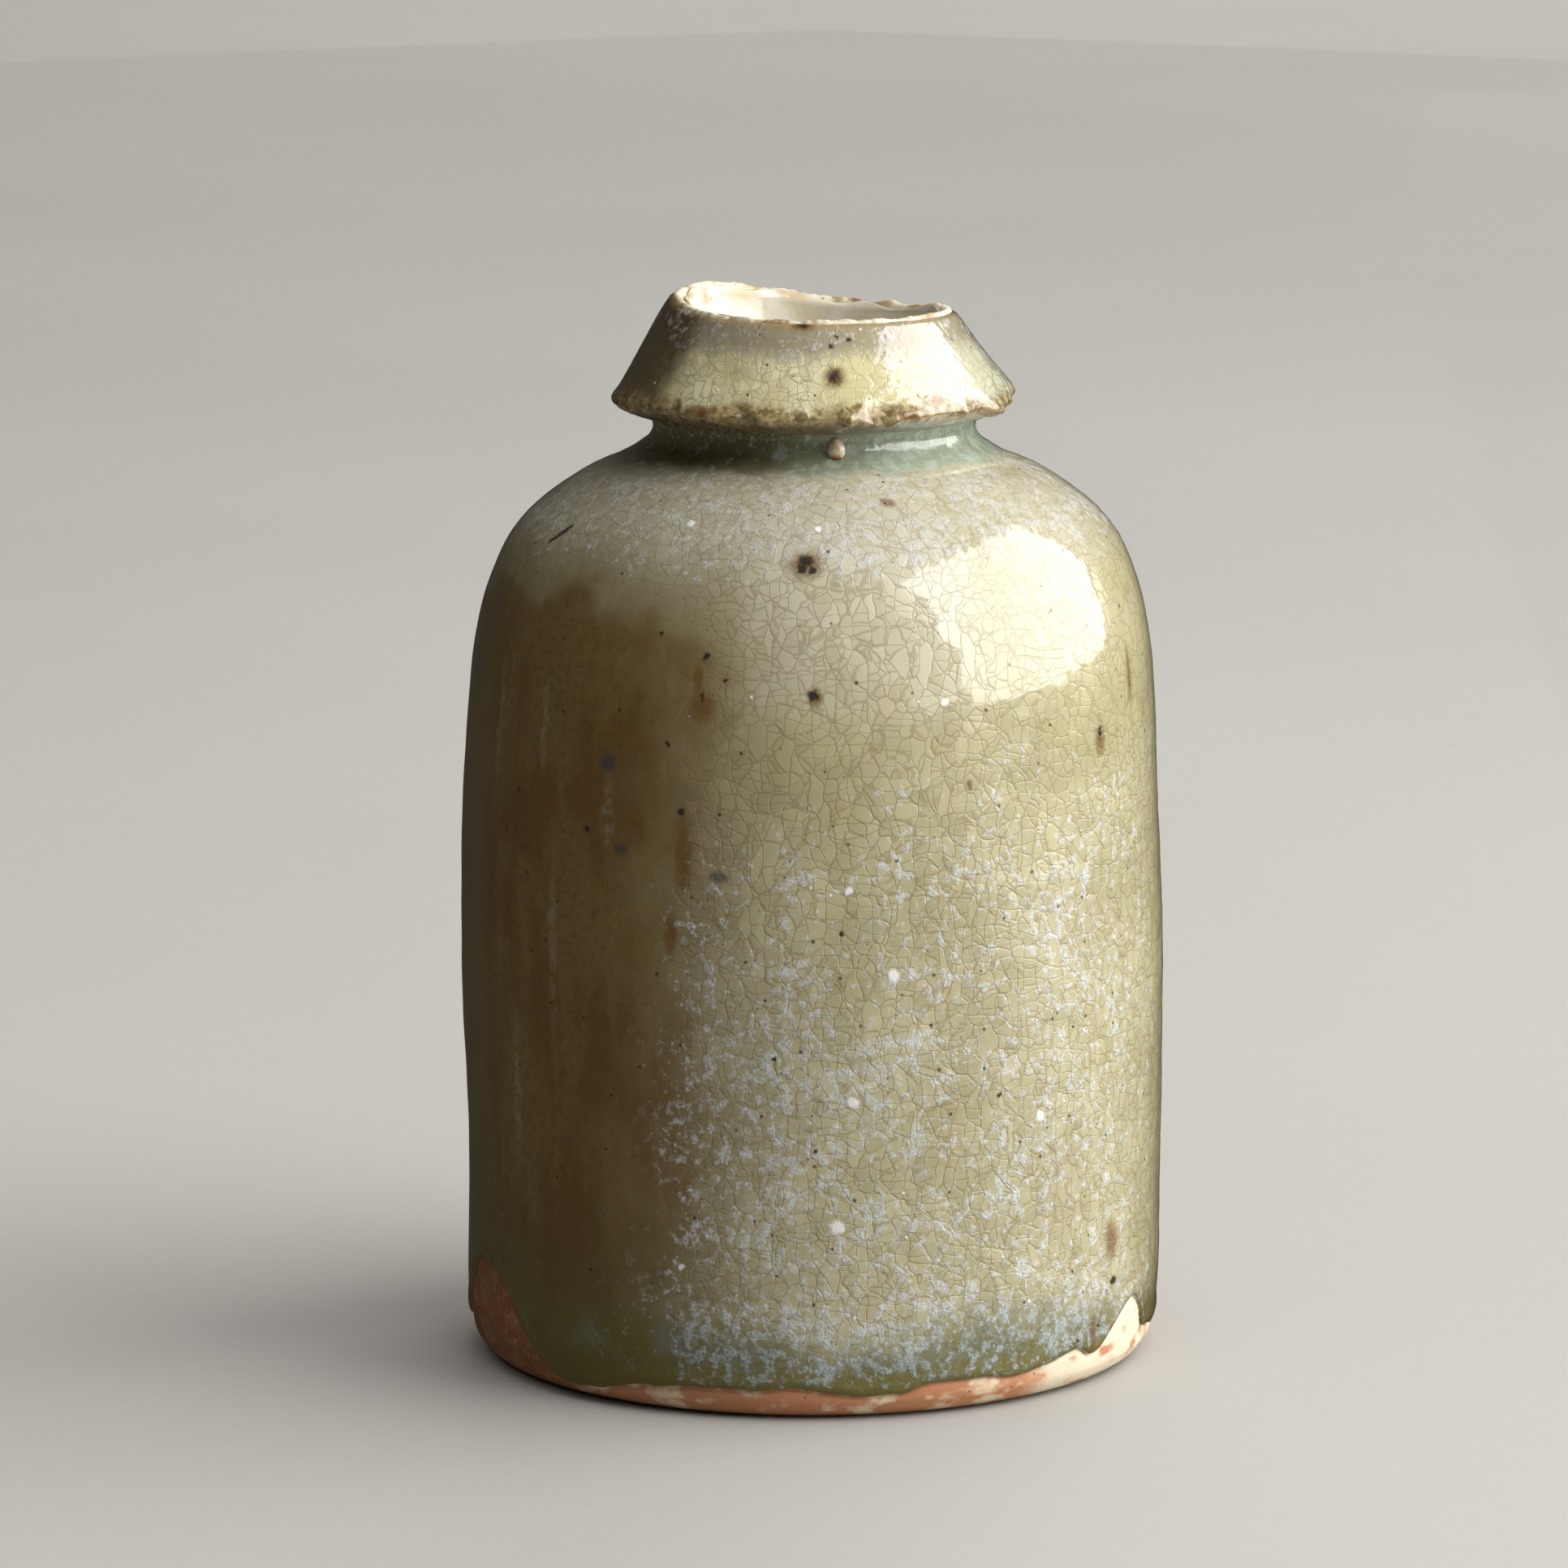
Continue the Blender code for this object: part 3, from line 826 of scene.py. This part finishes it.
# Ash and iron marks on the wall: angle, height, width and height of each, in degrees and mm.
IRON_SPOTS = [
    *((209.0 + 0.62 * step, 83.3 + 0.28 * step, 0.75, 0.62) for step in range(6)),
    (268.7, 83.4, 1.7, 1.3), (267.9, 82.7, 1.0, 1.3), (269.9, 82.6, 0.8, 1.4),
    (270.2, 71.1, 1.1, 1.3), (252.0, 74.5, 0.8, 0.8), (248.7, 59.6, 0.9, 0.9),
    (251.9, 70.6, 0.5, 1.2), (324.8, 65.3, 0.6, 1.8), (255.6, 72.3, 0.5, 0.5),
    (328.1, 10.4, 1.2, 1.0), (274.5, 48.2, 0.6, 0.55), (301.0, 31.5, 0.6, 0.55),
    (264.0, 36.0, 0.55, 0.5), (289.0, 39.0, 0.5, 0.5), (270.5, 27.0, 0.6, 0.5),
    (243.5, 76.5, 0.6, 0.6), (246.0, 66.0, 0.6, 0.6), (231.0, 57.0, 0.7, 0.6),
]
GREY_SPOTS = [(235.0, 63.7, 2.0, 2.0), (255.0, 53.5, 2.2, 1.4), (238.0, 55.5, 1.6, 1.2)]
PALE_RUNS = [(207.0, 66.0, 1.5, 20.0), (220.5, 66.5, 1.2, 15.0), (224.0, 45.0, 1.4, 22.0),
             (235.3, 58.5, 2.2, 9.0), (214.0, 30.0, 1.6, 18.0)]
RUST_SPOTS = [
    (268.8, 83.0, 4.0, 3.4), (251.8, 69.8, 3.2, 4.0), (251.0, 72.2, 1.4, 5.0),
    (336.1, 70.1, 1.1, 8.5), (324.8, 64.6, 2.0, 3.6), (249.2, 55.0, 2.0, 9.5),
    (322.5, 5.6, 1.3, 4.2), (327.2, 14.6, 3.0, 4.6), (270.4, 70.8, 1.8, 2.4),
    (288.0, 88.0, 2.0, 1.2), (296.0, 62.0, 0.8, 1.2), (247.0, 47.5, 1.6, 5.0),
]
WHITE_SPOTS = [
    (282.7, 44.0, 1.3, 1.4), (276.3, 31.7, 1.3, 1.3), (273.8, 19.4, 1.5, 1.7),
    (309.0, 28.8, 1.2, 1.2), (275.6, 52.3, 0.9, 0.9), (248.5, 15.0, 0.8, 0.8),
    (243.0, 86.2, 1.0, 0.9), (271.0, 86.0, 0.8, 0.8), (292.0, 70.0, 0.9, 0.8),
]


# ------------ materials
def specks(place, spacing, size, seed):
    """Scattered round specks: 1 in the middle of each, 0 outside; size in mm."""
    cell = place.shifted(seed, 2.0 * seed, 0.5 * seed).cells(1 / spacing, "F1", 1.0)
    return (cell["Distance"] * spacing).smooth(0.5 * size, 0.5 * size - 0.13)


def ash_colour(place):
    """Colour and roughness of the ash glaze on the wall, shoulder and groove."""
    edge, fine, lean, tint = crackle(place)
    smooth, tan, toward, frost = zones(place)
    z = place.height()
    around = place.around()
    cloud = place.noise(0.09, 3.0)
    grain = place.noise(1.3, 3.0, 0.65)
    ragged = place.warped(1.6, 0.35)
    wisp = place.noise(0.16, 3.0) - 0.5

    blush = place.shifted(9.0, 0.0, 4.0).noise(0.11, 2.0).smooth(0.54, 0.70) * 0.16
    ochre = place.shifted(0.0, 17.0, 0.0).noise(0.16, 3.0).smooth(0.58, 0.74) * 0.40
    # Painted light: the two lighter patches below lighten the front and the left of the shoulder,
    # as if more light fell there.
    pale = around.dot(direction(278)).smooth(0.90, 0.985) * (z + wisp * 8.0).smooth(65.0, 73.0)
    painted_shoulder_sheen = around.dot(direction(250)).smooth(0.90, 0.99) * (z + wisp * 6.0).smooth(72.0, 81.0)
    below = z.smooth(90.0, 85.0)
    shade = (around.dot(direction(214)) + wisp * 0.3).smooth(0.45, 0.92) * 0.60
    crown = (z + wisp * 8.0).smooth(80.0, 86.0) * 0.45
    cell_tone = tint.dot((0.3, 0.3, 0.3)) + grain * 0.5
    straw = layered(cloud.smooth(0.30, 0.66).blend(STRAW_DARK, STRAW), (blush, BLUSH),
                    (ochre, OCHRE), (pale * below * 0.75, PAINTED_SHOULDER_LIGHT),
                    (painted_shoulder_sheen * below * 0.65, PAINTED_SHOULDER_LIGHT), (shade, SHADED_STRAW),
                    (tan * 0.85, TAN), (crown, CROWN),
                    (cell_tone.smooth(0.40, 1.05) * 0.30, STRAW_DARK))

    streaks = place.stretched(1.0, 1.0, 0.22).noise(0.22, 3.0) * 0.6 + cloud * 0.4
    runs = spots(place.warped(0.5, 0.8), PALE_RUNS).smooth(1.2, 0.3)
    green = (z.smooth(26.0, 8.0) * 0.6).highest(around.dot(direction(186)).smooth(0.90, 1.0) * 0.5)
    brown = layered(streaks.smooth(0.42, 0.58).blend(OLIVE_BROWN, TOBACCO),
                    (grain.smooth(0.42, 0.72) * 0.45, BURNT_BROWN),
                    (runs * grain.smooth(0.30, 0.65) * 0.40, RUN), (green, MOSS))

    foot = (z + (cloud - 0.5) * 9.0).smooth(12.0, 5.5)
    crack = edge.smooth(0.085, 0.01) * 0.44
    hair = fine.smooth(0.075, 0.01) * 0.38
    crack = crack.highest(hair) * (1.0 - smooth * 0.93) * (1.0 - foot * 0.6)

    grains = frost_grains(place, frost, edge)
    upper = z.smooth(80.0, 87.0)
    frost_tone = layered(upper.blend(FROST, FROST_GREY), (foot, FOOT_FROST))
    blue = foot * place.noise(0.16, 2.0).smooth(0.46, 0.62) * 0.30
    blue = blue * z.smooth(4.5, 7.0) * around.dot(direction(275)).smooth(0.3, 0.9)
    dust = frost * grain.smooth(0.35, 0.70) * 0.12

    rust = spots(ragged, RUST_SPOTS).smooth(1.25, 0.30)
    grey = spots(ragged, GREY_SPOTS).smooth(1.2, 0.5)
    black = spots(ragged, IRON_SPOTS).smooth(1.25, 0.55)
    pepper = specks(place, 2.6, 0.50, 13.0).highest(specks(place, 1.9, 0.30, 41.0))
    pepper = pepper.highest(specks(place, 1.2, 0.22, 59.0) * smooth)
    white = spots(place.warped(1.2, 0.3), WHITE_SPOTS).smooth(1.25, 0.50)
    white = white.highest(specks(place, 4.6, 0.46, 77.0) * (1.0 - smooth) * 0.8)
    colour = layered(straw, ((toward + (cloud - 0.5) * 0.3).smooth(0.56, 0.88), brown),
                     (foot * 0.95, FOOT_OLIVE), (crack, CRACK), (blue, SEA_BLUE),
                     (dust, frost_tone), (grains * 0.90, frost_tone), (rust * 0.75, RUST),
                     (grey * 0.7, SLATE), (black.highest(pepper * 0.85) * 0.95, IRON),
                     (white * 0.95, WHITE_ASH))

    rough = 0.17 + grains * 0.35 + dust * 0.6 + crack * 0.2 + (grain - 0.5) * 0.10
    rough = rough + upper * 0.16 - foot * 0.06 - smooth * 0.05
    return colour, rough.highest(0.06), (edge, fine, lean, grains, white, smooth, foot, grain)


def ash_bump(place, parts):
    """Fine relief of the ash glaze, in mm, under the relief already in the mesh."""
    edge, fine, lean, grains, white, smooth, foot, grain = parts
    crisp = edge.smooth(0.10, 0.0) * -0.030 + fine.smooth(0.10, 0.0) * -0.026
    calm = 1.0 - place.height().smooth(56.0, 70.0) * 0.45
    crisp = (crisp + lean * 0.095) * calm * (1.0 - smooth.highest(foot * 0.6).highest(white) * 0.92)
    return crisp + grains * 0.030 + white * 0.06 + grain * 0.012


def make_wall_material():
    skin = Skin("ash_glaze_skin", coat=1.0, coat_roughness=0.05)
    place = skin.place
    colour, rough, parts = ash_colour(place)
    return skin.finish(colour, rough, ash_bump(place, parts))


def make_groove_material():
    skin = Skin("pooled_glaze_skin", coat=0.6, coat_roughness=0.04)
    place = skin.place
    z = place.height()
    around = place.around()
    cloud = place.noise(0.35, 3.0)
    # Painted shade, in part: the pool turns from brown on the side away from the key light to green
    # on its lit side, partly the pool's own colours.
    right = around.dot(direction(325)).smooth(0.15, 0.95)
    pale = (place.noise(0.8, 3.0) + right * 0.12).smooth(0.56, 0.70)
    edge = crackle(place.stretched(*GROOVE_CRACKLE))[0]
    grains = place.noise(2.2, 3.0, 0.6).smooth(0.56, 0.68) * z.smooth(91.6, 93.2)
    wall_tone = ash_colour(place)[0]
    colour = layered((right + (cloud - 0.5) * 0.8).blend(POOL_BROWN_AND_SHADE, POOL_GREEN),
                     (pale * 0.45, POOL_MILK), (grains * 0.6, POOL_FROST),
                     ((z + (cloud - 0.5) * 1.6).smooth(90.8, 89.6), wall_tone),
                     (z.smooth(93.8, 94.6) * cloud.smooth(0.4, 0.6) * 0.6, RUST),
                     (edge.smooth(0.10, 0.02) * 0.14, POOL_CRACK))
    rough = 0.07 + grains * 0.25 + z.smooth(90.4, 89.4) * 0.15
    bump = edge.smooth(0.10, 0.0) * -0.006 + grains * 0.02 + place.noise(1.2, 2.0) * 0.02
    return skin.finish(colour, rough, bump)


COLLAR_IRON = [(276.8, 99.6, 1.5, 1.8), (276.4, 102.4, 0.6, 0.6), (279.0, 103.2, 0.5, 0.5),
               (283.5, 103.0, 0.5, 0.5), (266.0, 104.3, 1.6, 0.7), (303.0, 97.4, 0.5, 1.6)]
COLLAR_RUST = [(276.8, 99.6, 2.6, 2.6), (283.4, 96.9, 1.1, 0.9), (286.8, 95.6, 1.2, 1.1),
               (266.0, 104.2, 2.4, 1.2), (297.0, 96.0, 2.6, 0.8),
               (236.0, 96.2, 3.0, 1.2), (309.0, 97.0, 3.0, 1.2), (200.0, 96.6, 2.2, 1.6)]


def true_height(place, around):
    """Height on the collar before the kiln made its rim wavy, in mm."""
    z = place.height()
    cosine, sine, _ = around.parts()
    (first, _, first_crest), (second, _, second_crest) = RIM_WAVES[:2]
    lift = around.dot(direction(first_crest)) * (first / MM)
    double = (cosine * cosine - sine * sine) * math.cos(math.radians(2 * second_crest))
    double = double + cosine * sine * (2 * math.sin(math.radians(2 * second_crest)))
    lift = lift + double * (second / MM)
    return z - lift * z.smooth(LIP_HEIGHT / MM, HEIGHT / MM)


def make_collar_material():
    skin = Skin("collar_glaze_skin", coat=1.0, coat_roughness=0.04)
    place = skin.place
    around = place.around()
    z = true_height(place, around)
    cloud = place.noise(0.22, 3.0)
    grain = place.noise(1.5, 3.0, 0.65)
    ragged = place.warped(1.6, 0.35)
    edge, fine, lean, _ = crackle(place.stretched(*COLLAR_CRACKLE))
    right = around.dot(direction(340)).smooth(0.55, 0.98) * 0.5
    sea = around.dot(direction(350)).smooth(0.8, 1.0) * z.smooth(104.0, 101.0) * 0.45
    upper = (z + (cloud - 0.5) * 3.0).smooth(100.6, 102.6)
    shade = (around.dot(direction(188)) + (cloud - 0.5) * 0.25).smooth(0.76, 0.90) * 0.92
    dust = (grain + (cloud - 0.5) * 0.6).smooth(0.50, 0.68) * upper
    lip = (z + (cloud - 0.5) * 2.0 + (grain - 0.5) * 1.2).smooth(97.3, 96.2)
    lip_tone = grain.smooth(0.40, 0.60).blend(LIP_BROWN, LIP_OCHRE)
    crack = edge.smooth(0.075, 0.01) * cloud.smooth(0.36, 0.62) * 0.50
    hair = fine.smooth(0.065, 0.01) * cloud.smooth(0.30, 0.56) * 0.35
    crack = crack.highest(hair) * (1.0 - lip.highest(upper * 0.7))
    brink = (z + (grain - 0.5) * 1.0).smooth(103.9, 104.5) * 0.75
    white = specks(place, 2.4, 0.42, 5.0) * 0.8
    rust = spots(ragged, COLLAR_RUST, COLLAR).smooth(1.3, 0.35)
    black = spots(ragged, COLLAR_IRON, COLLAR).smooth(1.35, 0.35) * 0.92
    black = black.highest(specks(place, 2.4, 0.42, 23.0) * 0.9)
    colour = layered(cloud.smooth(0.35, 0.65).blend(COLLAR_STRAW, COLLAR_CREAM),
                     (right, COLLAR_OCHRE), (sea, COLLAR_SEA), (upper * 0.85, COLLAR_TOP),
                     (shade, COLLAR_SHADE), (dust * 0.55, COLLAR_DUST), (lip * 0.9, lip_tone),
                     # the underside below the lip darker: partly brown glaze, partly painted shade
                     # under the overhang
                     (z.smooth(95.6, 94.6) * 0.9, LIP_UNDER_BROWN_AND_SHADE), (crack, COLLAR_CRACK),
                     (brink, BRINK), (white, WHITE_ASH), (rust * 0.8, DARK_RUST), (black, IRON))
    rough = 0.15 + dust * 0.35 + lip * 0.12 + (grain - 0.5) * 0.10
    crisp = edge.smooth(0.09, 0.0) * -0.022 + fine.smooth(0.08, 0.0) * -0.014 + lean * 0.070
    bump = crisp * (1.0 - lip.highest(upper)) + dust * 0.04 + lip * grain * 0.10 + white * 0.08
    return skin.finish(colour, rough.highest(0.06), bump)


def make_clay_material(name, is_rim):
    skin = Skin(name, specular=0.4)
    place = skin.place
    z = place.height()
    around = place.around()
    cloud = place.stretched(1.0, 1.0, 1.6).noise(0.28, 3.0)
    grain = place.noise(2.0, 3.0, 0.65)
    if is_rim:
        burnt = place.shifted(5.0, 5.0, 0.0).noise(0.45, 3.0).smooth(0.60, 0.68)
        colour = layered(cloud.smooth(0.34, 0.52).blend(RIM_BROWN, RIM_CREAM),
                         (burnt * 0.85, RIM_BURNT))
    else:
        right = around.dot(direction(328)).smooth(0.93, 0.975)
        left = around.dot(direction(200)).smooth(0.86, 0.95) * 0.85
        ember = grain.smooth(0.50, 0.66).blend(EMBER_DARK, EMBER_LIGHT)
        colour = layered(cloud.smooth(0.50, 0.64).blend(CLAY_RED, CLAY_CREAM),
                         (right * cloud.smooth(0.30, 0.45), CLAY_PALE), (left, ember),
                         (z.smooth(0.9, 0.2) * 0.5, CLAY_UNDER))
    colour = layered(colour, (grain.smooth(0.62, 0.75) * 0.35, CLAY_GRIT),
                     (specks(place, 1.6, 0.35, 3.0) * 0.8, IRON))
    rough = 0.48 + (grain - 0.5) * 0.30
    cut = place.stretched(0.5, 1.6, 1.0).noise(0.9, 2.0) * z.smooth(0.3, 0.0)
    bump = grain * 0.05 + place.noise(5.0, 2.0) * 0.015 + cut * 0.12
    return skin.finish(colour, rough, bump)


def make_lining_material():
    skin = Skin("white_glaze_skin", coat=0.5, coat_roughness=0.05)
    place = skin.place
    cloud = place.noise(0.30, 3.0)
    grain = place.noise(2.0, 2.0)
    # the lining turns darker deeper down the mouth
    deeper_down = place.height().smooth(98.0, 93.5)
    brink = place.height().smooth(103.6, 104.6) * cloud.smooth(0.35, 0.6)
    colour = layered(cloud.smooth(0.35, 0.7).blend(LINING_CREAM, LINING_SHADE),
                     (deeper_down * 0.6, LINING_DEEP), (brink * 0.7, LINING_BRINK),
                     (specks(place, 2.2, 0.40, 8.0) * 0.7, LINING_SPECK))
    return skin.finish(colour, 0.12 + grain * 0.10, place.noise(0.8, 3.0) * 0.06)


def make_hollow_material():
    skin = Skin("liner_glaze_skin")
    place = skin.place
    cloud = place.noise(0.12, 3.0)
    edge = crackle(place)[0]
    colour = cloud.smooth(0.3, 0.7).blend(HOLLOW_DARK, HOLLOW_PALE)
    colour = (edge.smooth(0.12, 0.02) * 0.5).blend(colour, CRACK)
    return skin.finish(colour, 0.20 + cloud * 0.12, edge.smooth(0.12, 0.0) * -0.03)


def make_bead_material():
    skin = Skin("ash_bead_skin", coat=0.6, coat_roughness=0.04)
    place = skin.place
    z = place.height()
    grain = place.noise(1.6, 3.0, 0.6)
    colour = grain.smooth(0.35, 0.7).blend(BEAD_TAN, BEAD_CREAM)
    low = (z + (grain - 0.5) * 0.8).smooth(92.2, 91.5)
    colour = low.blend(colour, BEAD_FOOT)
    return skin.finish(colour, 0.10 + grain * 0.12, grain * 0.04)


def make_floor_material():
    skin = Skin("floor_skin", specular=0.2)
    place = skin.place
    cloud = place.noise(0.004, 3.0)
    fine = place.noise(0.35, 3.0, 0.6)
    colour = cloud.smooth(0.3, 0.7).blend(FLOOR_GREY, FLOOR_PALE)
    return skin.finish(colour, 0.62 + (fine - 0.5) * 0.12, fine * 0.05)


# ------------ the bottle
def place_pieces():
    """Build every piece, hide the part of the frame it replaces, hang it on the root body and give
    it its material.
    """
    table = [
        (make_wall_glaze(), "body_glaze", "ash_glaze", make_wall_material()),
        (make_clay_pot(), "clay_body", "stoneware", make_clay_material("foot_clay_skin", False)),
        (make_collar_coat(), "collar_glaze", "collar_glaze", make_collar_material()),
        (make_collar_clay(), "collar_ring", "collar_stoneware",
         make_clay_material("rim_clay_skin", True)),
        (make_groove_glaze(), "neck_glaze", "pooled_glaze", make_groove_material()),
        (make_mouth_lining(), "mouth_glaze", "white_glaze", make_lining_material()),
        (make_hollow_lining(), "inner_glaze", "liner_glaze", make_hollow_material()),
        (make_bead(), "neck_bead", "ash_bead", make_bead_material()),
    ]
    for piece, node, slot, material in table:
        piece.data.materials.clear()
        piece.data.materials.append(material)
        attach(piece, "root")
        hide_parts(node)


# ------------ floor, light and camera
FLOOR_SIZE = 9.0
CAMERA_DISTANCE = 0.775
CAMERA_HEIGHT = 0.192
CAMERA_PITCH = 9.902       # degrees below level
CAMERA_TURN = -0.211       # degrees left of straight ahead
LENS_MM = 181.3
SENSOR_MM = 36.0
# Softboxes: place, width and depth, power, whether the glaze mirrors it.
KEY = ((0.810, -0.060, 0.510), (1.32, 0.94), 19.0, True)
TOP = ((0.300, -0.300, 0.900), (0.70, 0.70), 5.0, False)
WASH = ((0.0, 0.0, 4.0), (9.0, 9.0), 220.0, False)
BACK = ((0.620, 2.050, 1.100), (2.00, 1.50), 26.0, False)
BOTTLE_MIDDLE = (0.0, 0.0, 0.06)
ROOM_LEVEL = 0.038         # what the glaze sees away from the lights
ROOM_COLOUR = (1.0, 0.86, 0.66, 1.0)
WALL_LEVEL = 0.40          # plain pale wall behind the floor, for the camera only
WALL_COLOUR = (1.0, 0.98, 0.95, 1.0)
LIGHT_COLOUR = (1.0, 0.99, 0.96)


def make_stage():
    bpy.ops.mesh.primitive_plane_add(size=FLOOR_SIZE, location=(0.0, 0.0, 0.0))
    floor = bpy.context.object
    floor.name = "studio_floor"
    floor.data.materials.append(make_floor_material())
    floor.visible_glossy = False
    return floor


def aim(item, place, target):
    item.location = place
    item.rotation_euler = (Vector(target) - Vector(place)).to_track_quat("-Z", "Y").to_euler()


def make_softbox(name, place, size, power, mirrored, target=BOTTLE_MIDDLE):
    """A soft area light that the camera doesn't see."""
    light = bpy.data.lights.new(name, "AREA")
    light.shape = "RECTANGLE"
    light.size, light.size_y = size
    light.energy = power
    light.color = LIGHT_COLOUR
    box = bpy.data.objects.new(name, light)
    bpy.context.scene.collection.objects.link(box)
    box.visible_camera = False
    box.visible_glossy = mirrored
    aim(box, place, target)
    return box


def make_lights(floor):
    """Light from the right, a wash that only the floor receives, and weak light around."""
    wash = make_softbox("floor_wash", *WASH, target=(0.0, 0.0, 0.0))
    wash.light_linking.receiver_collection = bpy.data.collections.new("floor_only")
    wash.light_linking.receiver_collection.objects.link(floor)
    make_softbox("back_fill", *BACK)
    make_softbox("window_key", *KEY)
    make_softbox("top_fill", *TOP)


def make_world():
    """A dim room for the glaze to mirror, and a pale wall for the camera alone."""
    world = bpy.data.worlds.new("studio_world")
    world.use_nodes = True
    tree = world.node_tree
    room = tree.nodes["Background"]
    wall = tree.nodes.new("ShaderNodeBackground")
    for node, colour, level in ((room, ROOM_COLOUR, ROOM_LEVEL), (wall, WALL_COLOUR, WALL_LEVEL)):
        node.inputs["Color"].default_value = colour
        node.inputs["Strength"].default_value = level
    seen = tree.nodes.new("ShaderNodeLightPath")
    pick = tree.nodes.new("ShaderNodeMixShader")
    sources = (seen.outputs["Is Camera Ray"], room.outputs[0], wall.outputs[0])
    for source, socket in zip(sources, pick.inputs):
        tree.links.new(source, socket)
    tree.links.new(pick.outputs[0], tree.nodes["World Output"].inputs[0])
    bpy.context.scene.world = world


def make_camera():
    data = bpy.data.cameras.new("studio_camera")
    data.lens = LENS_MM
    data.sensor_width = SENSOR_MM
    data.clip_end = 20.0
    camera = bpy.data.objects.new("studio_camera", data)
    bpy.context.scene.collection.objects.link(camera)
    camera.location = (0.0, -CAMERA_DISTANCE, CAMERA_HEIGHT)
    camera.rotation_euler = (math.radians(90.0 - CAMERA_PITCH), 0.0, math.radians(-CAMERA_TURN))
    bpy.context.scene.camera = camera


place_pieces()
make_lights(make_stage())
make_world()
make_camera()
bpy.context.scene.view_settings.view_transform = "Standard"
